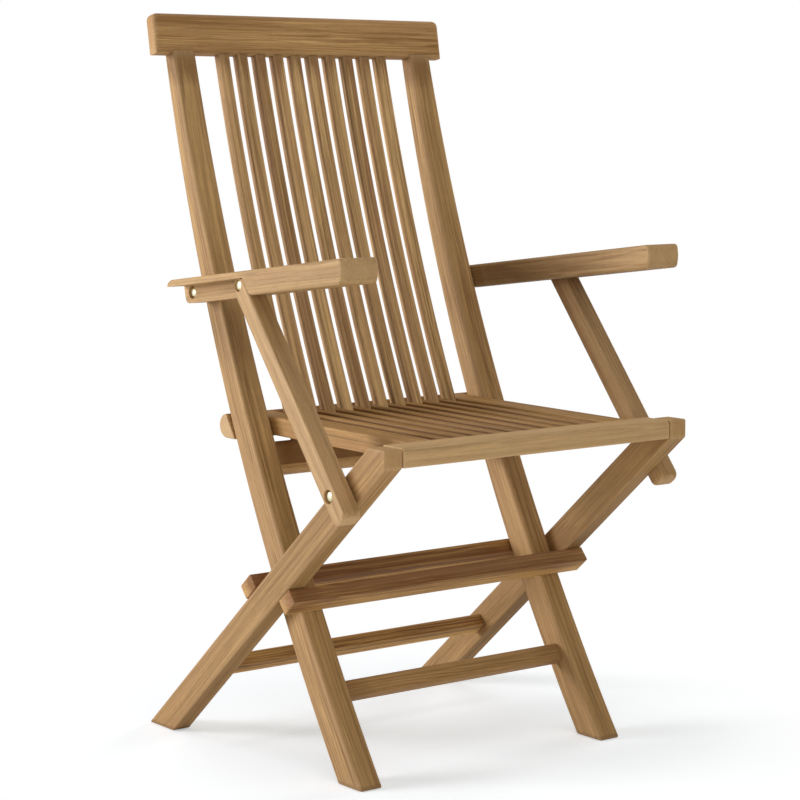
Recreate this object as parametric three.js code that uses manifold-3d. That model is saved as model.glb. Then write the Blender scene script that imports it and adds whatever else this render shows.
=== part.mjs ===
// Folding teak armchair, in millimetres: +Z up, the front faces -Y, X = 0 is the plane of symmetry.
import * as THREE from "three";
import { mergeVertices } from "three/addons/utils/BufferGeometryUtils.js";
import Module from "manifold-3d";

const wasm = await Module();
wasm.setup();

// Driving dimensions
const GAP = 0.3;
const HEIGHT = 1001;
const HALF_DEPTH = 285.3;
const ARM_OUTER_X = 281;

// Points of the side view, as Y and Z
const CROSSING = new THREE.Vector2(-23.2, 234);
const ARM_PIVOT = new THREE.Vector2(151.1, 622.7);
const SUPPORT_PIVOT = new THREE.Vector2(-7.3, 640.8);
const SUPPORT_FOOT = new THREE.Vector2(-207.3, 389.4);
const SEAT_PIVOT = new THREE.Vector2(-268, 440.5);

// Back frame
const POST_INNER_X = 186;
const POST_OUTER_X = 222.4;
const POST_ROUND = 5;
const POST_TOP = 951;
const POST_SPARE = 14;
const POST_FRONT = [[-190.4, 0], [72.8, 475], [252.3, 1000]];
const POST_REAR = [[-138.2, 0], [115.5, 475], [275, 1000]];
const BACK_SLATS = 10;
const SLAT_PITCH = 30.3;
const BACK_SLAT_WIDTH = 18;
const BACK_SLAT_THICKNESS = 14;
const BACK_SLAT_ROUND = 3;
const BACK_SLAT_TOP = 951;
const SLAT_SPARE = 8;
const TOP_RAIL = { halfLength: 247.3, thickness: 22, height: 56.5, lean: 9.5, y: 257.5, round: 6, end: 9 };
const LOWER_RAIL = { thickness: 22, height: 45, lean: 25, round: 6, z: 399 };
const STRETCHER = { thickness: 19.5, width: 25, round: 2.5 };
const FRONT_STRETCHER = { y: -95, z: 106.5, lean: 31.2 };

// Leg frame
const LEG_INNER_X = 223.5;
const LEG_OUTER_X = 252;
const LEG_ROUND = 3;
const LEG_THICKNESS = 41.3;
const LEG_LEAN = 49.83;
const LEG_TOP = 452.7;
const LEG_NOSE = 24;
const STOP_RAIL = { thickness: 21.8, width: 30, round: 2, along: 33 };
const REAR_STRETCHER_ALONG = -195.6;

// Seat
const SEAT_TILT = 0.55;
const SEAT_THICKNESS = 24.7;
const SEAT_FRONT_DEPTH = 44;
const SEAT_HALF_WIDTH = 222;
const SEAT_ROUND = 2;
const SEAT_NOSE_ROUND = 8;
const BOARD_INNER_X = 146;
const BOARD_OUTER_X = 184.5;
const SEAT_SLATS = 9;
const SEAT_SLAT_WIDTH = 12.2;
const BAR_RADIUS = 16.5;
const BAR_TOP_ANGLE = 91;
const BAR_CENTRE = new THREE.Vector2(118.3, 441);
const BAR_FRONT = 96.8;

// Armrests and their supports
const ARM_INNER_X = 223.5;
const ARM_STEP_X = 252;
const ARM_THICKNESS = 32.6;
const ARM_SLOPE = -0.1135;
const ARM_FRONT = { y: -235.6, z: 685.2 };
const ARM_REAR = 172;
const ARM_NOSE = 6;
const ARM_TAIL = { slant: 5.5, round: 8, top: 10 };
const ARM_ROUND = 4;
const LIP_THICKNESS = 9;
const REBATE_CLEARANCE = 0.6;
const REBATE_REACH = 70;
const SUPPORT_INNER_X = 253;
const SUPPORT_WIDTH = 27.5;
const SUPPORT_LEAN = 38.7;
const SUPPORT_TAIL = 39;
const SUPPORT_TAIL_ROUND = 10;
const SUPPORT_ROUND = 3;
const SUPPORT_HEAD = 9.3;
const SUPPORT_SHOULDER = 0.5;
const HEAD_TURN = 106;
const HEAD_CHAMFER = 8.5;

// Fastenings
const BOLT = { headRadius: 7, headHeight: 4, shank: 4, sink: 5 };
const COUNTERBORE = 9.2;
const HEAD_COUNTERBORE = 8.2;
const PIN = { radius: 5, inset: 27, outset: 21 };
const RUNNING_CLEARANCE = 0.08;
const WASHER = { outer: 8.5, thickness: 0.4 };
const PAST = 1;

const TEAK = { color: 0xa9855a, roughness: 0.62, metalness: 0 };
const BRASS = { color: 0xcdb27c, roughness: 0.35, metalness: 1 };

const radians = THREE.MathUtils.degToRad;

// A unit vector of the side view, at an angle from the vertical: positive leans to the rear.
function leaning(degrees) {
  return new THREE.Vector2(Math.sin(radians(degrees)), Math.cos(radians(degrees)));
}

const LEG_UP = leaning(-LEG_LEAN);
const LEG_BACK = leaning(90 - LEG_LEAN);
const SUPPORT_UP = leaning(SUPPORT_LEAN);
const SUPPORT_FORE = leaning(SUPPORT_LEAN - 90);

// The point at some distances along two directions from a place in the side view.
function offset(place, first, along, second, across) {
  return place.clone().addScaledVector(first, along).addScaledVector(second, across);
}

// The circle through three points of the side view.
function circleThrough([a, b, c]) {
  const [p, q, r] = [a, b, c].map(([y, z]) => new THREE.Vector2(y, z));
  const d = 2 * (p.x * (q.y - r.y) + q.x * (r.y - p.y) + r.x * (p.y - q.y));
  const [pp, qq, rr] = [p.lengthSq(), q.lengthSq(), r.lengthSq()];
  const y = (pp * (q.y - r.y) + qq * (r.y - p.y) + rr * (p.y - q.y)) / d;
  const z = (pp * (r.x - q.x) + qq * (p.x - r.x) + rr * (q.x - p.x)) / d;
  return { y, z, radius: Math.hypot(p.x - y, p.y - z) };
}

// The angle at which a circle passes a height, on its rear side.
function angleAt(circle, z) {
  return Math.asin((z - circle.z) / circle.radius);
}

// How far back a circle is at a height.
function depthAt(circle, z) {
  return circle.y + circle.radius * Math.cos(angleAt(circle, z));
}

const postFront = circleThrough(POST_FRONT);
const postRear = circleThrough(POST_REAR);
const postMiddle = circleThrough(
  POST_FRONT.map(([y, z], i) => [(y + POST_REAR[i][0]) / 2, z]),
);

// A shape between two arcs that rise from one height to another.
function bowedShape(front, rear, low, high) {
  const shape = new THREE.Shape();
  shape.absarc(front.y, front.z, front.radius, angleAt(front, low), angleAt(front, high), false);
  shape.absarc(rear.y, rear.z, rear.radius, angleAt(rear, high), angleAt(rear, low), true);
  shape.closePath();
  return shape;
}

// A closed shape with straight sides.
function polygon(points) {
  return new THREE.Shape(points);
}

// A rectangle centred on the origin, its corners rounded.
function roundedRectangle(width, height, round) {
  const [w, h] = [width / 2 - round, height / 2 - round];
  const quarter = Math.PI / 2;
  const shape = new THREE.Shape();
  shape.absarc(w, h, round, 0, quarter);
  shape.absarc(-w, h, round, quarter, 2 * quarter);
  shape.absarc(-w, -h, round, 2 * quarter, 3 * quarter);
  shape.absarc(w, -h, round, 3 * quarter, 4 * quarter);
  shape.closePath();
  return shape;
}

// A shape made solid to a depth along Z, the edges of its two faces rounded.
function rounded(shape, depth, round, curveSegments, bevelSegments) {
  const geometry = new THREE.ExtrudeGeometry(shape, {
    depth: depth - 2 * round,
    curveSegments,
    bevelEnabled: round > 0,
    bevelThickness: round,
    bevelSize: round,
    bevelOffset: -round,
    bevelSegments,
  });
  return geometry.translate(0, 0, round);
}

// A side-view shape made solid from one X to another, the edges at its two ends rounded.
function across(shape, fromX, toX, round = 0, curveSegments = 4, bevelSegments = 2) {
  const geometry = rounded(shape, toX - fromX, round, curveSegments, bevelSegments);
  const toSideView = new THREE.Matrix4().makeBasis(
    new THREE.Vector3(0, 1, 0),
    new THREE.Vector3(0, 0, 1),
    new THREE.Vector3(1, 0, 0),
  );
  return geometry.applyMatrix4(toSideView).translate(fromX, 0, 0);
}

// A cylinder along X through a point of the side view.
function rod(centre, fromX, toX, radius, segments = 24) {
  return new THREE.CylinderGeometry(radius, radius, toX - fromX, segments)
    .rotateZ(Math.PI / 2)
    .translate((fromX + toX) / 2, centre.x, centre.y);
}

function toSolid(geometry) {
  const bare = geometry.clone();
  bare.deleteAttribute("normal");
  bare.deleteAttribute("uv");
  const merged = mergeVertices(bare, 1e-4);
  return new wasm.Manifold(new wasm.Mesh({
    numProp: 3,
    vertProperties: new Float32Array(merged.attributes.position.array),
    triVerts: new Uint32Array(merged.index.array),
  }));
}

function toGeometry(solid) {
  const mesh = solid.getMesh();
  const geometry = new THREE.BufferGeometry();
  geometry.setAttribute("position", new THREE.BufferAttribute(mesh.vertProperties, 3));
  geometry.setIndex(new THREE.BufferAttribute(mesh.triVerts, 1));
  geometry.computeVertexNormals();
  return geometry;
}

// A geometry with others cut out of it.
function cut(geometry, ...cutters) {
  const solid = cutters.reduce((left, cutter) => left.subtract(toSolid(cutter)), toSolid(geometry));
  return toGeometry(solid);
}

// A geometry kept between two heights.
function keepBetween(geometry, low, high) {
  const solid = toSolid(geometry).trimByPlane([0, 0, 1], low).trimByPlane([0, 0, -1], -high);
  return toGeometry(solid);
}

// The same geometry on the other side of the plane of symmetry.
function mirrored(geometry) {
  const solid = toSolid(geometry).mirror([1, 0, 0]);
  return toGeometry(solid);
}

const chair = new THREE.Group();

function add(name, geometry, look, parent = chair) {
  const mesh = new THREE.Mesh(geometry, new THREE.MeshStandardMaterial(look));
  mesh.name = name;
  parent.add(mesh);
  return mesh;
}

// The right-hand piece and its mirror image on the left.
function addPair(name, geometry, look) {
  add(`${name}_right`, geometry, look);
  add(`${name}_left`, mirrored(geometry), look);
}

// The side-view angle of a bar that leans to the rear.
function lean(mesh, degrees) {
  mesh.rotation.x = -radians(degrees);
}

// Posts, from the front feet to the top rail
function post(grow = 0) {
  const front = { ...postFront, radius: postFront.radius - grow };
  const rear = { ...postRear, radius: postRear.radius + grow };
  const shape = bowedShape(front, rear, -POST_SPARE, POST_TOP + POST_SPARE);
  const bar = across(shape, POST_INNER_X - grow, POST_OUTER_X + grow, POST_ROUND, 10, 3);
  return keepBetween(bar, 0, POST_TOP + grow);
}

function addPosts() {
  const bolt = rod(ARM_PIVOT, POST_OUTER_X - PIN.inset, POST_OUTER_X + PAST, BOLT.shank + GAP);
  const pin = rod(CROSSING, POST_OUTER_X - PIN.inset, POST_OUTER_X + PAST, PIN.radius + GAP);
  addPair("post", cut(post(), bolt, pin), TEAK);
}

// Back slats, bowed like the posts
function slatX(index, count) {
  return (index - (count - 1) / 2) * SLAT_PITCH;
}

function backSlat(centreX, grow = 0) {
  const half = BACK_SLAT_THICKNESS / 2 + grow;
  const front = { ...postMiddle, radius: postMiddle.radius - half };
  const rear = { ...postMiddle, radius: postMiddle.radius + half };
  const low = LOWER_RAIL.z - SLAT_SPARE;
  const shape = bowedShape(front, rear, low, BACK_SLAT_TOP + SLAT_SPARE);
  const halfWidth = BACK_SLAT_WIDTH / 2 + grow;
  const bar = across(shape, centreX - halfWidth, centreX + halfWidth, BACK_SLAT_ROUND, 6);
  return keepBetween(bar, low, BACK_SLAT_TOP + grow);
}

function addBackSlats() {
  const lowerRailTop = leaning(LOWER_RAIL.lean);
  const middle = new THREE.Vector2(depthAt(postMiddle, LOWER_RAIL.z), LOWER_RAIL.z);
  const reach = middle.dot(lowerRailTop) + LOWER_RAIL.height / 2 + GAP;
  for (let i = 0; i < BACK_SLATS; i += 1) {
    const bar = toSolid(backSlat(slatX(i, BACK_SLATS)));
    const above = bar.trimByPlane([0, lowerRailTop.x, lowerRailTop.y], reach);
    add(`back_slat_${i + 1}`, toGeometry(above), TEAK);
  }
}

// The top rail seen from the front, its two upper corners rounded.
function topRailShape() {
  const { halfLength, height, end } = TOP_RAIL;
  const quarter = Math.PI / 2;
  const [x, z] = [halfLength - end, height / 2 - end];
  const shape = new THREE.Shape();
  shape.moveTo(-halfLength, -height / 2);
  shape.lineTo(halfLength, -height / 2);
  shape.absarc(x, z, end, 0, quarter);
  shape.absarc(-x, z, end, quarter, 2 * quarter);
  shape.closePath();
  return shape;
}

function addTopRail() {
  const { thickness, height, lean: angle, round, y } = TOP_RAIL;
  const [w, h] = [thickness / 2 - round, height / 2 - round];
  const rise = h * Math.cos(radians(angle)) + w * Math.sin(radians(angle)) + round;
  const bar = rounded(topRailShape(), thickness, round, 5, 3)
    .translate(0, 0, -thickness / 2)
    .rotateX(radians(90 - angle))
    .translate(0, y, HEIGHT - rise);
  const housing = post(GAP);
  const mortises = Array.from({ length: BACK_SLATS }, (_, i) => backSlat(slatX(i, BACK_SLATS), GAP));
  add("top_rail", cut(bar, housing, mirrored(housing), ...mortises), TEAK);
}

function addLowerRail() {
  const { thickness, height, lean: angle, round, z } = LOWER_RAIL;
  const reach = POST_INNER_X - GAP;
  const rail = add(
    "lower_back_rail",
    across(roundedRectangle(thickness, height, round), -reach, reach),
    TEAK,
  );
  rail.position.set(0, depthAt(postMiddle, z), z);
  lean(rail, angle);
}

function addFrontStretcher() {
  const { thickness, width, round } = STRETCHER;
  const reach = POST_INNER_X - GAP;
  const bar = across(roundedRectangle(thickness, width, round), -reach, reach);
  const stretcher = add("front_stretcher", bar, TEAK);
  stretcher.position.set(0, FRONT_STRETCHER.y, FRONT_STRETCHER.z);
  lean(stretcher, FRONT_STRETCHER.lean);
}

// Legs, straight from the rear feet to the sides of the seat's front
function legLineAt(side, z) {
  const onFace = offset(CROSSING, LEG_BACK, (side * LEG_THICKNESS) / 2, LEG_UP, 0);
  return onFace.x + (z - onFace.y) * (LEG_UP.x / LEG_UP.y);
}

function addLegs() {
  const noseLow = LEG_TOP - LEG_NOSE;
  const shape = polygon([
    new THREE.Vector2(legLineAt(-1, 0), 0),
    new THREE.Vector2(legLineAt(1, 0), 0),
    new THREE.Vector2(legLineAt(1, LEG_TOP), LEG_TOP),
    new THREE.Vector2(-HALF_DEPTH, LEG_TOP),
    new THREE.Vector2(-HALF_DEPTH, noseLow),
  ]);
  const bar = across(shape, LEG_INNER_X, LEG_OUTER_X, LEG_ROUND);
  const bore = PIN.radius + RUNNING_CLEARANCE;
  const crossing = rod(CROSSING, LEG_INNER_X - PAST, LEG_INNER_X + PIN.outset, bore);
  const hinge = rod(SEAT_PIVOT, LEG_INNER_X - PAST, LEG_INNER_X + PIN.outset, PIN.radius + GAP);
  addPair("leg", cut(bar, crossing, hinge), TEAK);
}

// A crossbar laid along the legs: on them where it is outside their thickness, or between them.
function addLegBar(name, size, halfLength, along, back) {
  const bar = across(roundedRectangle(size.thickness, size.width, size.round), -halfLength, halfLength);
  const mesh = add(name, bar, TEAK);
  const place = offset(CROSSING, LEG_UP, along, LEG_BACK, back);
  mesh.position.set(0, place.x, place.y);
  lean(mesh, -LEG_LEAN);
}

function addLegBars() {
  const onFace = (LEG_THICKNESS + STOP_RAIL.thickness) / 2 + GAP;
  addLegBar("front_stop_rail", STOP_RAIL, LEG_OUTER_X, STOP_RAIL.along, -onFace);
  addLegBar("rear_stop_rail", STOP_RAIL, LEG_OUTER_X, -STOP_RAIL.along, onFace);
  addLegBar("rear_stretcher", STRETCHER, LEG_INNER_X - GAP, REAR_STRETCHER_ALONG, 0);
}

// Seat, built level about its hinge and then tilted
const seat = new THREE.Group();
seat.position.set(0, SEAT_PIVOT.x, SEAT_PIVOT.y);
seat.rotation.x = radians(SEAT_TILT);
chair.add(seat);

const SEAT_LOW = -SEAT_THICKNESS / 2;
const SEAT_HIGH = SEAT_THICKNESS / 2;
const SEAT_FRONT = -HALF_DEPTH - SEAT_PIVOT.x + GAP;
const SEAT_FRONT_REAR = SEAT_FRONT + SEAT_FRONT_DEPTH;
const barCentre = BAR_CENTRE.clone().sub(SEAT_PIVOT).rotateAround(new THREE.Vector2(), -radians(SEAT_TILT));
const barFront = BAR_FRONT - BAR_CENTRE.x;

function addSeatFront() {
  const shape = new THREE.Shape();
  const quarter = Math.PI / 2;
  const nose = SEAT_FRONT + SEAT_NOSE_ROUND;
  shape.moveTo(SEAT_FRONT, SEAT_LOW);
  shape.lineTo(SEAT_FRONT_REAR, SEAT_LOW);
  shape.lineTo(SEAT_FRONT_REAR, SEAT_HIGH);
  shape.absarc(nose, SEAT_HIGH - SEAT_NOSE_ROUND, SEAT_NOSE_ROUND, quarter, 2 * quarter);
  shape.closePath();
  const bar = across(shape, -SEAT_HALF_WIDTH, SEAT_HALF_WIDTH, SEAT_ROUND);
  const hinge = new THREE.Vector2();
  const bore = PIN.radius + RUNNING_CLEARANCE;
  const right = rod(hinge, SEAT_HALF_WIDTH - PIN.outset, SEAT_HALF_WIDTH + PAST, bore);
  const left = rod(hinge, -SEAT_HALF_WIDTH - PAST, PIN.outset - SEAT_HALF_WIDTH, bore);
  add("seat_front_rail", cut(bar, right, left), TEAK, seat);
}

// The bar behind the posts: round at the rear and cut away in front from its lower corner to its top,
// so that it rolls up the posts as the seat folds.
function barShape() {
  const shape = new THREE.Shape();
  shape.absarc(barCentre.x, barCentre.y, BAR_RADIUS, -Math.PI / 2, radians(BAR_TOP_ANGLE));
  shape.lineTo(barCentre.x + barFront, barCentre.y - BAR_RADIUS);
  shape.closePath();
  return shape;
}

function addSeatBar() {
  const bar = across(barShape(), -SEAT_HALF_WIDTH, SEAT_HALF_WIDTH, SEAT_ROUND, 8);
  add("seat_rear_bar", bar, TEAK, seat);
}

// A strip of the seat, from its front rail to the bar behind the posts.
function addSeatStrip(name, fromX, toX, barSolid) {
  const front = SEAT_FRONT_REAR + GAP;
  const shape = polygon([
    new THREE.Vector2(front, SEAT_LOW),
    new THREE.Vector2(barCentre.x, SEAT_LOW),
    new THREE.Vector2(barCentre.x, SEAT_HIGH),
    new THREE.Vector2(front, SEAT_HIGH),
  ]);
  add(name, cut(across(shape, fromX, toX, SEAT_ROUND), barSolid), TEAK, seat);
}

function addSeatStrips() {
  const wide = across(barShape(), -SEAT_HALF_WIDTH, SEAT_HALF_WIDTH, 0, 8).translate(0, -GAP, 0);
  const toBar = cut(wide);
  addSeatStrip("seat_board_right", BOARD_INNER_X, BOARD_OUTER_X, toBar);
  addSeatStrip("seat_board_left", -BOARD_OUTER_X, -BOARD_INNER_X, toBar);
  for (let i = 0; i < SEAT_SLATS; i += 1) {
    const x = slatX(i, SEAT_SLATS);
    addSeatStrip(`seat_slat_${i + 1}`, x - SEAT_SLAT_WIDTH / 2, x + SEAT_SLAT_WIDTH / 2, toBar);
  }
}

// Armrests: full thickness at the front, rebated along the rear of the outer side
function armTopAt(y) {
  return ARM_FRONT.z + (y - ARM_FRONT.y) * ARM_SLOPE;
}

function armShape() {
  const shape = new THREE.Shape();
  const rearTop = ARM_REAR - ARM_TAIL.top;
  const lip = new THREE.Vector2(ARM_REAR, armTopAt(ARM_REAR) - LIP_THICKNESS);
  const heel = new THREE.Vector2(ARM_REAR - ARM_TAIL.slant, armTopAt(ARM_REAR) - ARM_THICKNESS);
  const beforeHeel = heel.x - ARM_TAIL.round;
  const aboveHeel = heel.clone().lerp(lip, ARM_TAIL.round / heel.distanceTo(lip));
  shape.moveTo(ARM_FRONT.y, armTopAt(ARM_FRONT.y) - ARM_THICKNESS);
  shape.lineTo(beforeHeel, armTopAt(beforeHeel) - ARM_THICKNESS);
  shape.quadraticCurveTo(heel.x, heel.y, aboveHeel.x, aboveHeel.y);
  shape.lineTo(lip.x, lip.y);
  shape.quadraticCurveTo(ARM_REAR, armTopAt(ARM_REAR), rearTop, armTopAt(rearTop));
  shape.lineTo(ARM_FRONT.y, armTopAt(ARM_FRONT.y));
  const [low, high] = [armTopAt(ARM_FRONT.y) - ARM_THICKNESS, armTopAt(ARM_FRONT.y)];
  shape.quadraticCurveTo(ARM_FRONT.y - ARM_NOSE, (low + high) / 2, ARM_FRONT.y, low);
  return shape;
}

function rebateShape() {
  const shoulder = SUPPORT_WIDTH / 2 + REBATE_CLEARANCE;
  const low = offset(SUPPORT_PIVOT, SUPPORT_FORE, shoulder, SUPPORT_UP, -REBATE_REACH);
  const rise = armTopAt(low.x) - LIP_THICKNESS - low.y;
  const high = low.clone().addScaledVector(SUPPORT_UP, rise / (SUPPORT_UP.y - ARM_SLOPE * SUPPORT_UP.x));
  const beyond = ARM_REAR + REBATE_REACH;
  return polygon([
    low,
    new THREE.Vector2(beyond, low.y),
    new THREE.Vector2(beyond, armTopAt(beyond) - LIP_THICKNESS),
    high,
  ]);
}

function addArms() {
  const bar = across(armShape(), ARM_INNER_X, ARM_OUTER_X, ARM_ROUND);
  const rebate = across(rebateShape(), ARM_STEP_X, ARM_OUTER_X + PAST);
  const running = BOLT.shank + RUNNING_CLEARANCE;
  const floor = ARM_STEP_X - BOLT.sink;
  const postBolt = rod(ARM_PIVOT, ARM_INNER_X - PAST, ARM_STEP_X, running);
  const counterbore = rod(ARM_PIVOT, floor, ARM_STEP_X + PAST, COUNTERBORE);
  const supportBolt = rod(SUPPORT_PIVOT, ARM_STEP_X - PIN.outset, ARM_STEP_X + PAST, BOLT.shank + GAP);
  addPair("armrest", cut(bar, rebate, postBolt, counterbore, supportBolt), TEAK);
}

// Arm supports: the head is kept short so that it turns under the armrest's lip
function supportShape() {
  const half = SUPPORT_WIDTH / 2;
  const inner = half - SUPPORT_TAIL_ROUND;
  const head = SUPPORT_PIVOT;
  const up = Math.PI / 2;
  const turned = up - radians(HEAD_TURN);
  const tailUp = SUPPORT_TAIL_ROUND - SUPPORT_TAIL;
  const fore = offset(SUPPORT_FOOT, SUPPORT_FORE, inner, SUPPORT_UP, tailUp);
  const back = offset(SUPPORT_FOOT, SUPPORT_FORE, -inner, SUPPORT_UP, tailUp);
  const shoulder = offset(head, SUPPORT_FORE, half, SUPPORT_UP, SUPPORT_SHOULDER);
  const chamfer = offset(head, SUPPORT_FORE, -half, SUPPORT_UP, -HEAD_CHAMFER);
  const foreAngle = SUPPORT_FORE.angle();
  const shape = new THREE.Shape();
  shape.absarc(fore.x, fore.y, SUPPORT_TAIL_ROUND, foreAngle, foreAngle + up);
  shape.absarc(back.x, back.y, SUPPORT_TAIL_ROUND, foreAngle + up, foreAngle + 2 * up);
  shape.lineTo(chamfer.x, chamfer.y);
  shape.absarc(head.x, head.y, SUPPORT_HEAD, turned, up);
  shape.lineTo(shoulder.x, shoulder.y);
  shape.closePath();
  return shape;
}

function addSupports() {
  const bar = across(supportShape(), SUPPORT_INNER_X, ARM_OUTER_X, SUPPORT_ROUND);
  const floor = ARM_OUTER_X - BOLT.sink;
  const bores = [
    rod(SUPPORT_PIVOT, SUPPORT_INNER_X - PAST, ARM_OUTER_X, BOLT.shank + RUNNING_CLEARANCE),
    rod(SUPPORT_PIVOT, floor, ARM_OUTER_X + PAST, HEAD_COUNTERBORE),
    rod(SUPPORT_FOOT, SUPPORT_INNER_X - PAST, ARM_OUTER_X, BOLT.shank + GAP),
    rod(SUPPORT_FOOT, floor, ARM_OUTER_X + PAST, COUNTERBORE),
  ];
  addPair("arm_support", cut(bar, ...bores), TEAK);
}

// A bolt whose domed head stands at an X and whose shank runs inwards to another.
function bolt(centre, headX, shankX) {
  const { headRadius, headHeight, shank } = BOLT;
  const profile = new THREE.Path();
  profile.moveTo(0, 0);
  profile.lineTo(shank, 0);
  profile.lineTo(shank, headX - shankX);
  profile.lineTo(headRadius, headX - shankX);
  profile.lineTo(headRadius, headX - shankX + headHeight / 2);
  profile.quadraticCurveTo(headRadius, headX - shankX + headHeight, 0, headX - shankX + headHeight);
  return new THREE.LatheGeometry(profile.getPoints(3), 20)
    .rotateZ(-Math.PI / 2)
    .translate(shankX, centre.x, centre.y);
}

function addFastenings() {
  const stand = GAP - BOLT.sink;
  addPair("arm_bolt", bolt(ARM_PIVOT, ARM_STEP_X + stand, POST_OUTER_X - PIN.inset + GAP), BRASS);
  const intoArm = ARM_STEP_X - PIN.outset + GAP;
  addPair("support_bolt", bolt(SUPPORT_PIVOT, ARM_OUTER_X + stand, intoArm), BRASS);
  addPair("support_foot_bolt", bolt(SUPPORT_FOOT, ARM_OUTER_X + stand, SUPPORT_INNER_X), BRASS);
  const inLeg = LEG_INNER_X + PIN.outset - GAP;
  const crossingPin = rod(CROSSING, POST_OUTER_X - PIN.inset + GAP, inLeg, PIN.radius);
  addPair("crossing_pin", crossingPin, BRASS);
  const seatPin = rod(SEAT_PIVOT, SEAT_HALF_WIDTH - PIN.outset + GAP, inLeg, PIN.radius);
  addPair("seat_pin", seatPin, BRASS);
}

// A thin ring round a bolt or pin, midway between two wooden faces.
function washer(centre, fromX, toX, hole) {
  const middle = (fromX + toX) / 2;
  const [low, high] = [middle - WASHER.thickness / 2, middle + WASHER.thickness / 2];
  const disc = rod(centre, low, high, WASHER.outer);
  return cut(disc, rod(centre, low - PAST, high + PAST, hole + GAP));
}

function addWashers() {
  const bySeat = washer(SEAT_PIVOT, SEAT_HALF_WIDTH, LEG_INNER_X, PIN.radius);
  addPair("crossing_washer", washer(CROSSING, POST_OUTER_X, LEG_INNER_X, PIN.radius), BRASS);
  addPair("arm_washer", washer(ARM_PIVOT, POST_OUTER_X, ARM_INNER_X, BOLT.shank), BRASS);
  addPair("support_washer", washer(SUPPORT_PIVOT, ARM_STEP_X, SUPPORT_INNER_X, BOLT.shank), BRASS);
  addPair("seat_washer", bySeat, BRASS);
}

addPosts();
addTopRail();
addBackSlats();
addLowerRail();
addFrontStretcher();
addLegs();
addLegBars();
addSeatFront();
addSeatBar();
addSeatStrips();
addArms();
addSupports();
addFastenings();
addWashers();

export default chair;
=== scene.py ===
import math

import bmesh
import bpy
from mathutils import Matrix, Vector


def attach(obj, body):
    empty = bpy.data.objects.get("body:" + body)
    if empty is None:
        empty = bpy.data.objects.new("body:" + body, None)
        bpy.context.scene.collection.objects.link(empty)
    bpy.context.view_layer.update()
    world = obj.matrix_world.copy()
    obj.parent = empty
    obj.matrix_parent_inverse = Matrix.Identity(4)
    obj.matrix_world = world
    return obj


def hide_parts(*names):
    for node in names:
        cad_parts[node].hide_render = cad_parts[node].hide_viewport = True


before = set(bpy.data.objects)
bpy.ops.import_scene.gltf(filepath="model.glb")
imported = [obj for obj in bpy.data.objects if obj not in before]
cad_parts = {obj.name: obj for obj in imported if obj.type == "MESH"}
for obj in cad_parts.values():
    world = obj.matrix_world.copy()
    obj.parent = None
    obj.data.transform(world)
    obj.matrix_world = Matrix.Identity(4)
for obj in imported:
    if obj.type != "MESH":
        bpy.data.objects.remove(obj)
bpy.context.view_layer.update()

# All the pieces are shaped in millimetres and made metres when they are finished.
mm = 0.001
joint = 0.3                  # gap between neighbouring pieces
crossing = Vector((0, -23.2, 234))
armPivot = Vector((0, 151.1, 622.7))
supportPivot = Vector((0, -7.3, 640.8))
supportFoot = Vector((0, -207.3, 389.4))
seatPivot = Vector((0, -268, 440.5))
sideways = Vector((1, 0, 0))
rearwards = Vector((0, 1, 0))
upwards = Vector((0, 0, 1))
bothSides = (("Right", False), ("Left", True))     # the name, and whether it is the mirror image
# painted contact shadow at the floor, partly soiling: each foot is darkened just above the floor
floorShadeAndSoil = dict(full=2.0, fade=4.5, tone=-2.4)    # at the floor: heights, and how dark
rimTop = floorShadeAndSoil["full"] + floorShadeAndSoil["fade"]
crease = math.radians(38)    # a sharper angle between two faces is shaded as an edge


# Small tools for shaping

def leaning(degrees):
    # a direction in the side view, from the vertical towards the rear
    return Vector((0, math.sin(math.radians(degrees)), math.cos(math.radians(degrees))))


def stickFrame(centre, along, across):
    # turns a stick that lies along Z, its width along X, into its place
    through = along.cross(across)
    turn = Matrix((across, through, along)).transposed().to_4x4()
    return Matrix.Translation(centre) @ turn


def newBlock(width, depth, length):
    bm = bmesh.new()
    bmesh.ops.create_cube(bm, size=1)
    bmesh.ops.scale(bm, vec=(width, depth, length), verts=bm.verts)
    return bm


def isAlong(edge, direction):
    run = (edge.verts[1].co - edge.verts[0].co).normalized()
    return abs(run.dot(direction)) > 0.98


def sharpEdges(bm, degrees=40):
    limit = math.radians(degrees)
    return [e for e in bm.edges if len(e.link_faces) == 2 and e.calc_face_angle() > limit]


def roundEdges(bm, edges, radius, segments=3):
    return bmesh.ops.bevel(
        bm, geom=edges, offset=radius, offset_type="OFFSET", segments=segments,
        profile=0.5, affect="EDGES", material=-1, clamp_overlap=True,
    )["faces"]


def easeFlats(bm, curved, inset):
    # a loop just inside each flat face keeps it flat and carries the wear along its edge
    kept = {f for f in curved if f.is_valid}
    flats = [f for f in bm.faces if f not in kept]
    bmesh.ops.inset_region(bm, faces=flats, thickness=inset, use_even_offset=True)


def cutOff(bm, point, normal):
    # takes off what lies beyond a plane and closes the end
    geometry = bm.verts[:] + bm.edges[:] + bm.faces[:]
    cut = bmesh.ops.bisect_plane(
        bm, geom=geometry, plane_co=point, plane_no=normal, clear_outer=True,
    )
    rim = [g for g in cut["geom_cut"] if isinstance(g, bmesh.types.BMEdge)]
    bmesh.ops.holes_fill(bm, edges=rim)


def addLoops(bm, origin, along, places):
    # edges round the bar at some places along it, where its tone changes
    for place in places:
        geometry = bm.verts[:] + bm.edges[:] + bm.faces[:]
        bmesh.ops.bisect_plane(bm, geom=geometry, plane_co=origin + along * place, plane_no=along)


def darkerAtFloor(height):
    # a foot's rim darkened at the floor, painted contact shadow and partly soiling, for a point at this
    # height above the floor
    return floorShadeAndSoil["tone"] * max(0.0, 1 - max(0.0, height - floorShadeAndSoil["full"]) / floorShadeAndSoil["fade"])


def holdMesh(bm, name):
    mesh = bpy.data.meshes.new(name)
    bm.to_mesh(mesh)
    bm.free()
    piece = bpy.data.objects.new(name, mesh)
    bpy.context.scene.collection.objects.link(piece)
    return piece


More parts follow.
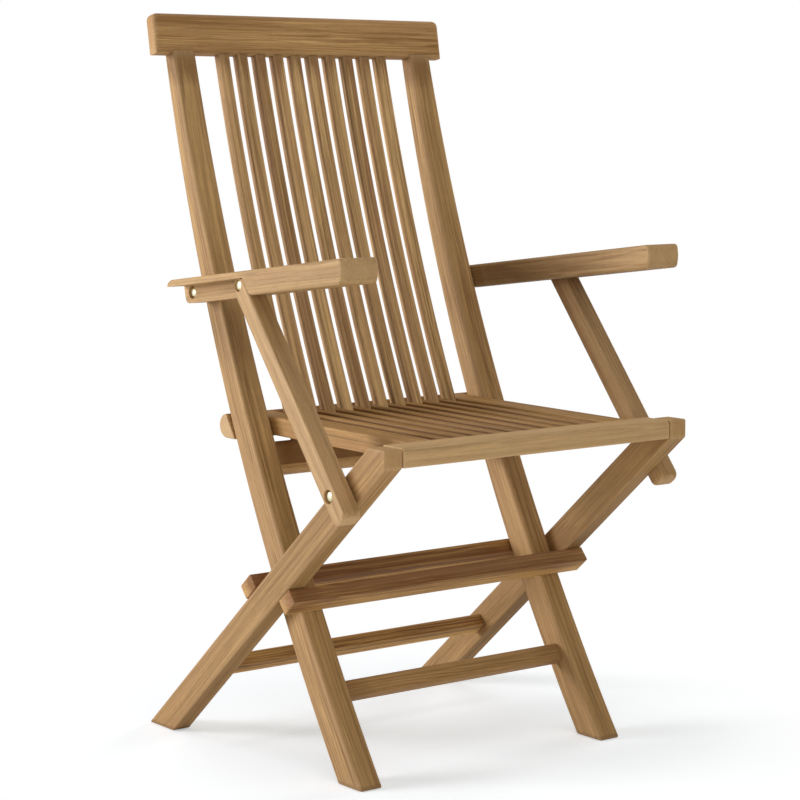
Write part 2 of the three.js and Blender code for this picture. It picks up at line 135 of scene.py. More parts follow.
def cutAway(bm, cutters):
    # the block less all the cutters, which don't touch each other
    joined = bmesh.new()
    for cutter in cutters:
        held = bpy.data.meshes.new("cutter")
        cutter.to_mesh(held)
        joined.from_mesh(held)
        cutter.free()
        bpy.data.meshes.remove(held)
    block, tool = holdMesh(bm, "block"), holdMesh(joined, "tool")
    cut = block.modifiers.new("cut", "BOOLEAN")
    cut.operation, cut.solver, cut.object = "DIFFERENCE", "EXACT", tool
    result = bmesh.new()
    result.from_object(block, bpy.context.evaluated_depsgraph_get())
    for spent in (block, tool):
        data = spent.data
        bpy.data.objects.remove(spent)
        bpy.data.meshes.remove(data)
    return result


def drill(centre, radius, fromX, toX, segments=32):
    bm = bmesh.new()
    bmesh.ops.create_cone(
        bm, cap_ends=True, segments=segments, radius1=radius, radius2=radius, depth=toX - fromX,
    )
    bmesh.ops.rotate(bm, verts=bm.verts, matrix=Matrix.Rotation(math.pi / 2, 3, "Y"))
    bmesh.ops.translate(bm, verts=bm.verts, vec=((fromX + toX) / 2, centre.y, centre.z))
    return bm


def outlineBoard(points, fromX, toX, turned=None):
    # a board cut to a side-view outline; turned adds an arc after the last point
    bm = bmesh.new()
    verts = [bm.verts.new((fromX, p.y, p.z)) for p in points]
    for a, b in zip(verts, verts[1:]):
        bm.edges.new((a, b))
    last = verts[-1]
    if turned:
        spun = bmesh.ops.spin(
            bm, geom=[last], cent=(fromX, turned["centre"].y, turned["centre"].z),
            axis=(1, 0, 0), angle=math.radians(turned["angle"]), steps=turned["steps"],
        )
        last = [g for g in spun["geom_last"] if isinstance(g, bmesh.types.BMVert)][0]
    bm.edges.new((last, verts[0]))
    bmesh.ops.contextual_create(bm, geom=bm.edges[:])
    pushed = bmesh.ops.extrude_face_region(bm, geom=bm.faces[:])
    moved = [g for g in pushed["geom"] if isinstance(g, bmesh.types.BMVert)]
    bmesh.ops.translate(bm, verts=moved, vec=(toX - fromX, 0, 0))
    bmesh.ops.recalc_face_normals(bm, faces=bm.faces[:])
    return bm


# How a stick's own grain, worn edges and end grain are written on it

def straightStick(place, width, depth, length=None, ends=None):
    # ends are planes, as a point, a normal and how much end grain shows there
    back = place.inverted()
    if ends is None:
        tip = place.to_3x3() @ Vector((0, 0, length / 2))
        along = tip.normalized()
        centre = place.to_translation()
        ends = [(centre + tip, along, 1.0), (centre - tip, -along, 1.0)]

    def read(co):
        local = back @ co
        sides = [abs(width / 2 - abs(local.x)), abs(depth / 2 - abs(local.y))]
        tips = [(abs((co - p).dot(n)), share) for p, n, share in ends]
        return local, sides, tips

    return read


def toneAlong(axis, *places):
    # a tone that runs through given values at given places on one of the stick's own axes
    def toneAt(local):
        here = local[axis]
        for (low, toneLow), (high, toneHigh) in zip(places, places[1:]):
            if here < high:
                return toneLow + (toneHigh - toneLow) * max(0.0, (here - low) / (high - low))
        return places[-1][1]
    return toneAt


def writeGrain(mesh, read, seed, tone, round):
    grain, edge, endGrain, tones = [], [], [], []
    # each piece is cut from another part of the wood
    shift = Vector((math.sin(seed * 12.9) * 150, math.cos(seed * 7.3) * 150, seed * 613.0))
    for vertex in mesh.vertices:
        local, sides, tips = read(vertex.co)
        near = sorted(sides + [gap for gap, share in tips])[1]
        grain.extend((local + shift) * mm)
        # the tone holds the wood's own tone and the painted shade and light laid on some pieces, with the
        # painted contact shadow at the floor added
        tones.append((tone(local) if callable(tone) else tone) + darkerAtFloor(vertex.co.z))
        edge.append(max(0.0, 1 - near / (round + 1.5)))
        cap = max(share * max(0.0, 1 - gap / max(round, 0.5)) for gap, share in tips)
        endGrain.append(cap)
    for name, values in (("edge", edge), ("endGrain", endGrain), ("tone", tones)):
        mesh.attributes.new(name, "FLOAT", "POINT").data.foreach_set("value", values)
    mesh.attributes.new("grain", "FLOAT_VECTOR", "POINT").data.foreach_set("vector", grain)


def finishWood(bm, name, node, body, slot, read, seed, round, tone=0.0, mirror=False):
    bmesh.ops.recalc_face_normals(bm, faces=bm.faces[:])
    piece = holdMesh(bm, name)
    mesh = piece.data
    writeGrain(mesh, read, seed, tone, round)
    if mirror:
        mesh.transform(Matrix.Scale(-1, 4, sideways))
        mesh.flip_normals()
    mesh.transform(Matrix.Scale(mm, 4))
    mesh.shade_smooth()
    mesh.set_sharp_from_angle(angle=crease)
    mesh.materials.append(teaks[slot])
    weighted = piece.modifiers.new("even shading", "WEIGHTED_NORMAL")
    weighted.keep_sharp = True
    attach(piece, body)
    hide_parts(node)
    return piece


# Materials

def addNode(tree, kind, **values):
    node = tree.nodes.new(kind)
    for name, value in values.items():
        setattr(node, name, value)
    return node


def feed(tree, socket, value):
    if isinstance(value, bpy.types.NodeSocket):
        tree.links.new(value, socket)
    else:
        socket.default_value = value


def math2(tree, operation, a, b=0.0, c=0.0, clamp=False):
    node = addNode(tree, "ShaderNodeMath", operation=operation, use_clamp=clamp)
    for socket, value in zip(node.inputs, (a, b, c)):
        feed(tree, socket, value)
    return node.outputs[0]


def vector2(tree, operation, a, b):
    node = addNode(tree, "ShaderNodeVectorMath", operation=operation)
    feed(tree, node.inputs[0], a)
    feed(tree, node.inputs[1], b)
    return node.outputs["Value" if operation == "LENGTH" else "Vector"]


def noiseAt(tree, vector, stretch, detail=2.0, roughness=0.5, distortion=0.0):
    node = addNode(tree, "ShaderNodeTexNoise")
    feed(tree, node.inputs["Vector"], vector2(tree, "MULTIPLY", vector, stretch))
    node.inputs["Scale"].default_value = 1.0
    node.inputs["Detail"].default_value = detail
    node.inputs["Roughness"].default_value = roughness
    node.inputs["Distortion"].default_value = distortion
    return node.outputs["Fac"]


def mapRange(tree, value, fromLow, fromHigh, toLow=0.0, toHigh=1.0):
    node = addNode(tree, "ShaderNodeMapRange", interpolation_type="SMOOTHSTEP")
    for socket, part in zip(node.inputs, (value, fromLow, fromHigh, toLow, toHigh)):
        feed(tree, socket, part)
    return node.outputs["Result"]


def mixColour(tree, factor, a, b, blend="MIX"):
    node = addNode(tree, "ShaderNodeMix", data_type="RGBA", blend_type=blend)
    feed(tree, node.inputs["Factor"], factor)
    feed(tree, node.inputs["A"], a)
    feed(tree, node.inputs["B"], b)
    return node.outputs["Result"]


def swing(tree, value, middle, strength):
    # how far a value is from its middle, made stronger or weaker
    return math2(tree, "MULTIPLY", math2(tree, "SUBTRACT", value, middle), strength)


def newGroup(name, colours, numbers):
    # a group that turns some colours and numbers into a colour, a roughness and a height
    group = bpy.data.node_groups.new(name, "ShaderNodeTree")
    sockets = [(socket, "INPUT", "Color") for socket in colours]
    sockets += [(socket, "INPUT", "Float") for socket in numbers]
    sockets += [("Color", "OUTPUT", "Color"), ("Roughness", "OUTPUT", "Float"), ("Height", "OUTPUT", "Float")]
    for socket, side, kind in sockets:
        group.interface.new_socket(socket, in_out=side, socket_type="NodeSocket" + kind)
    return group, addNode(group, "NodeGroupInput").outputs, addNode(group, "NodeGroupOutput").inputs


def newMaterial(name):
    material = bpy.data.materials.new(name)
    material.use_nodes = True
    return material, material.node_tree, material.node_tree.nodes["Principled BSDF"]


def makeFinish(name, group, values, bumpStrength, bumpDistance):
    material, tree, shader = newMaterial(name)
    look = addNode(tree, "ShaderNodeGroup", node_tree=group)
    for socket, value in values.items():
        look.inputs[socket].default_value = (*value, 1) if isinstance(value, tuple) else value
    bump = addNode(tree, "ShaderNodeBump")
    bump.inputs["Strength"].default_value = bumpStrength
    bump.inputs["Distance"].default_value = bumpDistance
    tree.links.new(look.outputs["Height"], bump.inputs["Height"])
    tree.links.new(look.outputs["Color"], shader.inputs["Base Color"])
    tree.links.new(look.outputs["Roughness"], shader.inputs["Roughness"])
    tree.links.new(bump.outputs["Normal"], shader.inputs["Normal"])
    return material, shader


poreColour = (0.09, 0.045, 0.02, 1)
rubbedColour = (0.64, 0.44, 0.22, 1)
dryTint = (1.2, 1.26, 1.42, 1)


def makeTeakGrain():
    group, given, out = newGroup(
        "teakGrain", ("Pale", "Deep", "Red"), ("Ring Width", "Rings", "Streaks", "Broad", "Redness"),
    )
    read = {name: addNode(group, "ShaderNodeAttribute", attribute_name=name)
            for name in ("grain", "edge", "endGrain", "tone")}
    grain = read["grain"].outputs["Vector"]
    edge, endGrain, tone = (read[name].outputs["Fac"] for name in ("edge", "endGrain", "tone"))
    # growth rings: distance from a heart far to one side, unevenly spaced, fading in and out
    split = addNode(group, "ShaderNodeSeparateXYZ")
    feed(group, split.inputs[0], grain)
    flat = addNode(group, "ShaderNodeCombineXYZ")
    feed(group, flat.inputs[0], math2(group, "MULTIPLY_ADD", split.outputs[2], 0.012, split.outputs[0]))
    feed(group, flat.inputs[1], math2(group, "MULTIPLY_ADD", split.outputs[2], -0.008, split.outputs[1]))
    radius = vector2(group, "LENGTH", flat.outputs[0], (0, 0, 0))
    wander = noiseAt(group, grain, (34, 34, 1.8), 3.0, 0.55)
    turns = math2(group, "DIVIDE", radius, given["Ring Width"])
    phase = math2(group, "FRACT", math2(group, "MULTIPLY_ADD", wander, 9.0, turns))
    rise = mapRange(group, phase, 0.05, 0.7)
    fall = mapRange(group, phase, 0.72, 1.0, 1.0, 0.0)
    ring = math2(group, "MULTIPLY", rise, fall)
    shown = mapRange(group, noiseAt(group, grain, (60, 60, 1.1), 1.0, 0.5), 0.38, 0.62, 0.15, 1.0)
    # fibres, pores and the slow change of colour from one side of a board to the other
    band = noiseAt(group, grain, (250, 250, 3.4), 2.0, 0.55)
    streak = noiseAt(group, grain, (640, 640, 9), 3.0, 0.6)
    fine = noiseAt(group, grain, (1700, 1700, 32), 2.0, 0.6)
    pore = mapRange(group, noiseAt(group, grain, (2600, 2600, 60), 1.0, 0.5), 0.6, 0.72)
    broad = noiseAt(group, grain, (70, 70, 1.9), 2.0, 0.5)
    warmth = noiseAt(group, vector2(group, "ADD", grain, (3.1, 5.7, 1.3)), (60, 60, 2.6), 3.0, 0.55)
    banded = swing(group, band, 0.5, given["Broad"])
    slow = swing(group, broad, 0.5, given["Broad"])
    streaky = swing(group, streak, 0.5, given["Streaks"])
    finely = swing(group, fine, 0.5, 0.5)
    ringed = math2(group, "MULTIPLY", swing(group, ring, 0.4, given["Rings"]), shown)
    depth = math2(group, "ADD", math2(group, "ADD", streaky, finely), math2(group, "ADD", ringed, slow))
    depth = math2(group, "ADD", depth, banded)
    depth = math2(group, "MULTIPLY", depth, math2(group, "MULTIPLY_ADD", endGrain, -0.75, 1.0))
    # the tone attribute, wood tone with painted shade and light, moves the colour towards deep or pale
    depth = math2(group, "ADD", math2(group, "MULTIPLY_ADD", tone, -0.3, 0.5), depth, clamp=True)
    colour = mixColour(group, depth, given["Pale"], given["Deep"])
    reddish = math2(group, "MULTIPLY", mapRange(group, warmth, 0.45, 0.68), given["Redness"])
    colour = mixColour(group, reddish, colour, given["Red"])
    colour = mixColour(group, math2(group, "MULTIPLY", pore, 0.4), colour, poreColour)
    rubbed = math2(group, "MULTIPLY", edge, mapRange(group, streak, 0.3, 0.65, 0.05, 0.3))
    colour = mixColour(group, rubbed, colour, rubbedColour)
    dry = mixColour(group, 1.0, colour, dryTint, "MULTIPLY")
    colour = mixColour(group, endGrain, colour, dry)
    feed(group, out["Color"], colour)
    rough = math2(group, "MULTIPLY_ADD", math2(group, "SUBTRACT", streak, 0.5), 0.25, 0.6)
    rough = math2(group, "MULTIPLY_ADD", pore, 0.2, rough)
    rough = math2(group, "MULTIPLY_ADD", endGrain, 0.16, rough)
    feed(group, out["Roughness"], math2(group, "MULTIPLY_ADD", edge, -0.06, rough))
    relief = math2(group, "MULTIPLY_ADD", pore, -0.9, math2(group, "MULTIPLY", fine, 0.6))
    feed(group, out["Height"], math2(group, "MULTIPLY_ADD", streak, 0.4, relief))
    return group


teakFinishes = {  # the wood's pale and deep colours, and how strong rings, streaks, broad bands and red are
    "teak_posts": ((0.611, 0.371, 0.144), (0.25, 0.132, 0.0407), 0.32, 1.1, 1.1, 0.2),
    "teak_back_rails": ((0.679, 0.411, 0.162), (0.271, 0.129, 0.0355), 0.41, 1.1, 1.1, 0.15),
    "teak_back_slats": ((0.676, 0.427, 0.179), (0.248, 0.129, 0.041), 0.4, 1.4, 1.8, 0.4),
    "teak_legs": ((0.531, 0.32, 0.122), (0.257, 0.137, 0.0424), 0.27, 0.86, 0.9, 0.2),
    "teak_leg_rails": ((0.811, 0.486, 0.155), (0.173, 0.0588, 0.00904), 0.36, 1.3, 1.3, 0.3),
    "teak_seat_rails": ((0.644, 0.41, 0.181), (0.309, 0.186, 0.0718), 0.27, 0.94, 0.94, 0.1),
    "teak_seat_boards": ((0.508, 0.279, 0.0847), (0.216, 0.106, 0.0261), 0.34, 1.1, 1.1, 0.15),
    "teak_seat_slats": ((0.372, 0.192, 0.0435), (0.156, 0.0663, 0.012), 0.27, 1.2, 1.2, 0.2),
    "teak_armrests": ((0.608, 0.385, 0.164), (0.235, 0.131, 0.0437), 0.29, 0.76, 0.8, 0.15),
    "teak_arm_supports": ((0.639, 0.409, 0.185), (0.267, 0.143, 0.0505), 0.24, 0.76, 0.8, 0.15),
}
teakCommon = {"Red": (0.36, 0.175, 0.085), "Ring Width": 0.0046}
teakGloss = 0.35


def makeTeak(name, finish, grainGroup):
    own = dict(zip(("Pale", "Deep", "Rings", "Streaks", "Broad", "Redness"), finish))
    material, shader = makeFinish(name, grainGroup, own | teakCommon, 0.35, 0.0004)
    shader.inputs["Specular IOR Level"].default_value = teakGloss
    return material


def makeBrassWear():
    group, given, out = newGroup("brassWear", ("Bright", "Dull"), ("Tarnish",))
    place = addNode(group, "ShaderNodeTexCoord").outputs["Object"]
    cloud = noiseAt(group, place, (260, 260, 260), 3.0, 0.6)
    scratch = noiseAt(group, place, (400, 5200, 1400), 2.0, 0.5)
    stain = math2(group, "MULTIPLY", mapRange(group, cloud, 0.4, 0.7), given["Tarnish"])
    feed(group, out["Color"], mixColour(group, stain, given["Bright"], given["Dull"]))
    rough = math2(group, "MULTIPLY_ADD", scratch, 0.16, 0.18)
    feed(group, out["Roughness"], math2(group, "MULTIPLY_ADD", stain, 0.35, rough))
    feed(group, out["Height"], scratch)
    return group


brassFinishes = {
    "brass_bolts": {"Bright": (0.86, 0.82, 0.52), "Dull": (0.6, 0.52, 0.27), "Tarnish": 0.25},
    "brass_pins": {"Bright": (0.78, 0.7, 0.4), "Dull": (0.45, 0.36, 0.17), "Tarnish": 0.5},
    "brass_washers": {"Bright": (0.74, 0.66, 0.38), "Dull": (0.42, 0.34, 0.16), "Tarnish": 0.6},
}


def makeBrass(name, finish, wearGroup):
    material, shader = makeFinish(name, wearGroup, finish, 0.15, 0.0001)
    shader.inputs["Metallic"].default_value = 1.0
    return material


teakGrain = makeTeakGrain()
teaks = {name: makeTeak(name, finish, teakGrain) for name, finish in teakFinishes.items()}
brassWear = makeBrassWear()
brasses = {name: makeBrass(name, finish, brassWear) for name, finish in brassFinishes.items()}
print("materials made:", len(teaks) + len(brasses))


# Bowed sticks: the posts and the back slats

def bowThrough(points):
    (ay, az), (by, bz), (cy, cz) = points
    d = 2 * (ay * (bz - cz) + by * (cz - az) + cy * (az - bz))
    aa, bb, cc = ay * ay + az * az, by * by + bz * bz, cy * cy + cz * cz
    y = (aa * (bz - cz) + bb * (cz - az) + cc * (az - bz)) / d
    z = (aa * (cy - by) + bb * (ay - cy) + cc * (by - ay)) / d
    return {"y": y, "z": z, "radius": math.hypot(ay - y, az - z)}


def bowDepth(bow, z, grow=0.0):
    return bow["y"] + math.sqrt((bow["radius"] + grow) ** 2 - (z - bow["z"]) ** 2)


post = dict(
    innerX=186, outerX=222.4, top=951, round=5, inset=1.5, foot=2.2, bends=36,
    front=[(-190.4, 0), (72.8, 475), (252.3, 1000)],
    rear=[(-138.2, 0), (115.5, 475), (275, 1000)],
    loops=(rimTop, 938, 949),
    # tones: painted shade about the seat's height, around the armrests and just under the top rail; the left
    # post also a little darker low down
    tones={
        "Right": toneAlong(2, (400, -0.15), (440, -0.9), (480, -0.15), (560, -0.5), (640, -0.9), (690, -0.6),
                           (760, -0.2), (938, -0.2), (949, -1.8)),
        "Left": toneAlong(2, (120, -0.3), (410, 0.05), (440, -0.5), (470, 0.05), (550, 0.05), (600, -1.2),
                          (640, -1.2), (660, 0.05), (938, 0.05), (949, -1.8)),
    },
)
postFront, postRear = bowThrough(post["front"]), bowThrough(post["rear"])
postMiddle = bowThrough(
    [((f[0] + r[0]) / 2, f[1]) for f, r in zip(post["front"], post["rear"])]
)


def bowedStick(fromX, toX, low, high, frontBow, frontGrow, rearBow, rearGrow, bends):
    bm = newBlock(toX - fromX, 2, high - low)
    bmesh.ops.translate(bm, verts=bm.verts, vec=((fromX + toX) / 2, 0, (low + high) / 2))
    upright = [e for e in bm.edges if isAlong(e, upwards)]
    bmesh.ops.subdivide_edges(bm, edges=upright, cuts=bends, use_grid_fill=True)
    for vertex in bm.verts:
        bow, grow = (frontBow, frontGrow) if vertex.co.y < 0 else (rearBow, rearGrow)
        vertex.co.y = bowDepth(bow, vertex.co.z, grow)
    return bm


def bowedRead(fromX, toX, low, high, frontBow, frontGrow, rearBow, rearGrow):
    def read(co):
        z = co.z
        front, rear = bowDepth(frontBow, z, frontGrow), bowDepth(rearBow, z, rearGrow)
        slope = math.cos(math.asin(max(-1, min(1, (z - postMiddle["z"]) / postMiddle["radius"]))))
        middle = (front + rear) / 2
        local = Vector((co.x - (fromX + toX) / 2, (co.y - middle) * slope, (z - low) / slope))
        sides = [abs(co.x - fromX), abs(co.x - toX), abs(co.y - front) * slope, abs(co.y - rear) * slope]
        tips = [(abs(z - low), 0.85), (abs(z - high), 0.85)]
        return local, sides, tips
    return read


def longChains(bm):
    return [e for e in sharpEdges(bm, 60) if abs((e.verts[1].co - e.verts[0].co).normalized().z) > 0.6]


def shapePost(grow=0.0):
    bm = bowedStick(
        post["innerX"] - grow, post["outerX"] + grow, 0, post["top"] + grow,
        postFront, -grow, postRear, grow, post["bends"],
    )
    curved = set(roundEdges(bm, longChains(bm), post["round"], 5))
    return bm, curved


def makePosts():
    read = bowedRead(post["innerX"], post["outerX"], 0, post["top"], postFront, 0, postRear, 0)
    for number, (side, mirror) in enumerate(bothSides):
        bm, curved = shapePost()
        ends = [e for e in sharpEdges(bm, 50) if e.verts[0].co.z < 1 and e.verts[1].co.z < 1]
        curved |= set(roundEdges(bm, ends, post["foot"], 2))
        easeFlats(bm, curved, post["inset"])
        addLoops(bm, Vector(), upwards, post["loops"])
        finishWood(bm, "post" + side, "post_" + side.lower(), "back_frame", "teak_posts", read,
                   3 + number, post["round"], post["tones"][side], mirror)


backSlats = dict(
    count=10, pitch=30.3, width=18, thickness=14, round=3, inset=1.2, top=951, bends=24,
    tones=(-0.4, -0.1, -0.6, 0.35, -0.2, 0.1, 0.15, 0.0, 0.2, 0.1),
    # nearSeat and nearRail: painted shade, the slats darker near the lower back rail and just under the top
    # rail
    nearSeat=(20, 80), seatShade=-0.9, nearRail=(541, 550), railShade=-2.4,
)
# the last pair gives the height on the rail from which a painted shadow of the seat darkens its upper part,
# and the tone it adds
lowerRail = dict(thickness=22, height=45, lean=25, round=6, z=399, halfLength=185.7, seatShadow=(-13.5, -2.6))
lowerRailPlace = Vector((0, bowDepth(postMiddle, lowerRail["z"]), lowerRail["z"]))


def slatX(index, count):
    return (index - (count - 1) / 2) * backSlats["pitch"]


def shapeBackSlat(centreX, grow=0.0):
    half, halfWidth = backSlats["thickness"] / 2 + grow, backSlats["width"] / 2 + grow
    low = lowerRail["z"] - 8
    bm = bowedStick(
        centreX - halfWidth, centreX + halfWidth, low, backSlats["top"] + grow,
        postMiddle, -half, postMiddle, half, backSlats["bends"],
    )
    if not grow:
        up = leaning(lowerRail["lean"])
        reach = lowerRail["height"] / 2 + joint
        cutOff(bm, lowerRailPlace + up * reach, -up)
    curved = set(roundEdges(bm, longChains(bm), backSlats["round"], 4))
    return bm, curved


def makeBackSlats():
    half, halfWidth = backSlats["thickness"] / 2, backSlats["width"] / 2
    for i in range(backSlats["count"]):
        centreX = slatX(i, backSlats["count"])
        read = bowedRead(centreX - halfWidth, centreX + halfWidth, lowerRail["z"], backSlats["top"],
                         postMiddle, -half, postMiddle, half)
        bm, curved = shapeBackSlat(centreX)
        easeFlats(bm, curved, backSlats["inset"])
        (low, clear), (shaded, high) = backSlats["nearSeat"], backSlats["nearRail"]
        addLoops(bm, Vector(), upwards, (lowerRail["z"] + shaded, lowerRail["z"] + high))
        tone = backSlats["tones"][i]
        # painted shade: the slat is darker near the lower back rail and just under the top rail
        tone = toneAlong(2, (low, tone + backSlats["seatShade"]), (clear, tone), (shaded, tone),
                         (high, tone + backSlats["railShade"]))
        finishWood(bm, f"backSlat{i + 1}", f"back_slat_{i + 1}", "back_frame", "teak_back_slats", read,
                   20 + i, backSlats["round"], tone)


# Straight rails from side to side

# the tone added at a rail's ends is painted shade where it darkens the rail beside a leg or post
barEnd = dict(full=14, fade=50)    # how far from its end a rail has the tone of the end
barInset = 1.5


def shapeCrossBar(place, width, thickness, halfLength, round, endRound):
    bm = newBlock(width, thickness, 2 * halfLength)
    long = [e for e in bm.edges if isAlong(e, upwards)]
    curved = set(roundEdges(bm, long, round, 5))
    caps = [f for f in bm.faces if abs(f.normal.z) > 0.9]
    rims = list({e for f in caps for e in f.edges})
    curved |= set(roundEdges(bm, rims, endRound, 4))
    curved = {f for f in curved if f.is_valid} | {f for f in bm.faces if abs(f.normal.z) > 0.999}
    easeFlats(bm, curved, barInset)
    addLoops(bm, Vector(), upwards,
             [sign * (halfLength - back) for sign in (-1, 1) for back in barEnd.values()])
    bmesh.ops.transform(bm, matrix=place, verts=bm.verts)
    return bm


topRail = dict(
    halfLength=247.3, thickness=22, height=56.5, lean=9.5, y=257.5, top=1001, round=6, end=9,
    tones=((-200, -0.7), (-100, -0.3), (0, 0.15), (100, 0.1), (200, -0.3)),
)


def shapeTopRail(place):
    bm = newBlock(topRail["height"], topRail["thickness"], 2 * topRail["halfLength"])
    upper = [e for e in bm.edges if isAlong(e, rearwards) and e.verts[0].co.x > 0]
    roundEdges(bm, upper, topRail["end"], 6)
    outline = {e for f in bm.faces if abs(f.normal.y) > 0.9 for e in f.edges}
    roundEdges(bm, list(outline), topRail["round"], 5)
    easeFlats(bm, {f for f in bm.faces if max(abs(c) for c in f.normal) < 0.999}, barInset)
    addLoops(bm, Vector(), upwards, [along for along, tone in topRail["tones"]])
    bmesh.ops.transform(bm, matrix=place, verts=bm.verts)
    return bm


def makeTopRail():
    angle = math.radians(topRail["lean"])
    w, h = topRail["thickness"] / 2 - topRail["round"], topRail["height"] / 2 - topRail["round"]
    rise = h * math.cos(angle) + w * math.sin(angle) + topRail["round"]
    centre = Vector((0, topRail["y"], topRail["top"] - rise))
    place = stickFrame(centre, sideways, leaning(topRail["lean"]))
    bm = shapeTopRail(place)
    right, left = shapePost(joint)[0], shapePost(joint)[0]
    bmesh.ops.scale(left, vec=(-1, 1, 1), verts=left.verts)
    bmesh.ops.reverse_faces(left, faces=left.faces[:])
    slats = [shapeBackSlat(slatX(i, backSlats["count"]), joint)[0] for i in range(backSlats["count"])]
    bm = cutAway(bm, [right, left, *slats])
    read = straightStick(place, topRail["height"], topRail["thickness"], 2 * topRail["halfLength"])
    finishWood(bm, "topRail", "top_rail", "back_frame", "teak_back_rails", read, 41, topRail["round"],
               toneAlong(2, *topRail["tones"]))


def makeCrossBar(name, node, body, slot, place, size, halfLength, seed, tone):
    # tone is for the faces, for the upper edge, which gets painted shade, and for what is added close to the
    # left and the right end, painted shade where it darkens the end by a leg or post;
    # size may say how high on the bar a painted shadow of the seat starts, and what tone it adds there
    round = size["round"]
    width, thickness = size["width"], size["thickness"]
    bm = shapeCrossBar(place, width, thickness, halfLength, round, size.get("endRound", min(round, 2.0)))
    read = straightStick(place, width, thickness, 2 * halfLength)
    faces, upper, nearLeft, nearRight = tone
    upperFaceShade = toneAlong(0, (width / 2 - round - 1, faces), (width / 2 - round, upper))
    full, fade = halfLength - barEnd["full"], halfLength - barEnd["fade"]
    toneAndShadeParts = [upperFaceShade, toneAlong(2, (-full, nearLeft), (-fade, 0.0), (fade, 0.0), (full, nearRight))]
    if "seatShadow" in size:
        start, seatShadow = size["seatShadow"]
        addLoops(bm, place.to_translation(), place.to_3x3() @ sideways, (start, start + 2))
        toneAndShadeParts.append(toneAlong(0, (start, 0.0), (start + 2, seatShadow)))
    finishWood(bm, name, node, body, slot, read, seed, round,
               lambda local: sum(part(local) for part in toneAndShadeParts))


stretchers = dict(width=25, thickness=19.5, round=2.5, endRound=1.5, frontY=-95, frontZ=106.5, frontLean=31.2,
                  rearAlong=-195.6, frontHalf=185.7, rearHalf=223.2)
stopRails = dict(width=30, thickness=21.8, round=2, endRound=2, along=33, halfLength=252)
leg = dict(
    innerX=223.5, outerX=252, round=3, inset=1.8, thickness=41.3, lean=49.83, top=452.7, nose=-285.3,
    uncut=1100,
    loops=(-250, -150, -60, 20, 45, 80, 110, 220),
    # tones: painted shade, the right leg darker over much of its length and darkest just past the crossing
    # with the post and stop rails; the left leg a little darker about the crossing
    tones={
        "Right": toneAlong(2, (-250, -0.3), (-150, -0.9), (20, -0.9), (45, -2.4), (80, -0.9), (110, -0.4),
                           (220, -0.1)),
        "Left": toneAlong(2, (-150, 0.1), (-60, -0.1), (20, -0.4), (110, -0.5), (220, -0.1)),
    },
)
legUp = leaning(-leg["lean"])
legBack = leaning(90 - leg["lean"])


def makeRails():
    makeCrossBar(
        "lowerBackRail", "lower_back_rail", "back_frame", "teak_back_rails",
        stickFrame(lowerRailPlace, sideways, leaning(lowerRail["lean"])),
        dict(lowerRail, width=lowerRail["height"]), lowerRail["halfLength"], 43, (0.4, -0.2, -0.4, -0.4),
    )
    makeCrossBar(
        "frontStretcher", "front_stretcher", "back_frame", "teak_back_rails",
        stickFrame(Vector((0, stretchers["frontY"], stretchers["frontZ"])), sideways,
                   leaning(stretchers["frontLean"])),
        stretchers, stretchers["frontHalf"], 44, (-0.4, -0.6, -0.9, -0.9),
    )
    makeCrossBar(
        "rearStretcher", "rear_stretcher", "leg_frame", "teak_leg_rails",
        stickFrame(crossing + legUp * stretchers["rearAlong"], sideways, legUp),
        stretchers, stretchers["rearHalf"], 45, (2.2, -0.7, -0.3, -0.3),
    )
    onFace = (leg["thickness"] + stopRails["thickness"]) / 2 + joint
    for name, node, side, seed, tone in (
        ("frontStopRail", "front_stop_rail", 1, 46, (0.45, -1.3, -0.8, 0.6)),
        ("rearStopRail", "rear_stop_rail", -1, 47, (0.7, -1.2, -0.8, -0.8)),
    ):
        centre = crossing + legUp * (side * stopRails["along"]) - legBack * (side * onFace)
        makeCrossBar(name, node, "leg_frame", "teak_leg_rails", stickFrame(centre, sideways, legUp),
                     stopRails, stopRails["halfLength"], seed, tone)


# Legs

def makeLegs():
    middleX = (leg["innerX"] + leg["outerX"]) / 2
    width = leg["outerX"] - leg["innerX"]
    place = stickFrame(crossing + sideways * middleX, legUp, sideways)
    ends = [
        (Vector(), -upwards, 0.65),
        (Vector((0, 0, leg["top"])), upwards, 0.65),
        (Vector((0, leg["nose"], 0)), -rearwards, 0.76),
    ]
    read = straightStick(place, width, leg["thickness"], ends=ends)
    for number, (side, mirror) in enumerate(bothSides):
        bm = newBlock(width, leg["thickness"], leg["uncut"])
        bmesh.ops.transform(bm, matrix=place, verts=bm.verts)
        for point, normal, share in ends:
            cutOff(bm, point, normal)
        curved = set(roundEdges(bm, sharpEdges(bm, 20), leg["round"], 4))
        easeFlats(bm, curved, leg["inset"])
        addLoops(bm, crossing, legUp, leg["loops"])
        addLoops(bm, Vector(), upwards, (rimTop,))
        finishWood(bm, "leg" + side, "leg_" + side.lower(), "leg_frame", "teak_legs", read,
                   50 + number, leg["round"], leg["tones"][side], mirror)


# Seat

seat = dict(
    tilt=0.55, thickness=24.7, frontDepth=44, halfWidth=222, round=2, noseRound=8, frontEdge=-285.0,
    boardInner=146, boardOuter=184.5, slats=9, slatWidth=12.2, uncut=400, frontInset=1.2, inset=1.0,
    # sideFrom and the slats' side tone: painted shade on the sides below the top face, in the gaps between
    # the slats
    tones=(0.1, -0.1, 0.2, 0.0, -0.15, 0.15, -0.05, 0.1, 0.0), sideFrom=(1.5, 4), slatSideShade=-1.8,
)
seatBar = dict(radius=16.5, topAngle=91, centre=Vector((0, 118.3, 441)), front=96.8, round=2)
seatTilt = Matrix.Rotation(math.radians(seat["tilt"]), 4, "X")
seatPlace = Matrix.Translation(seatPivot) @ seatTilt
barTop = seatBar["centre"] + Vector((0, math.cos(math.radians(seatBar["topAngle"])),
                                     math.sin(math.radians(seatBar["topAngle"])))) * seatBar["radius"]
barLow = Vector((0, seatBar["front"], seatBar["centre"].z - seatBar["radius"]))


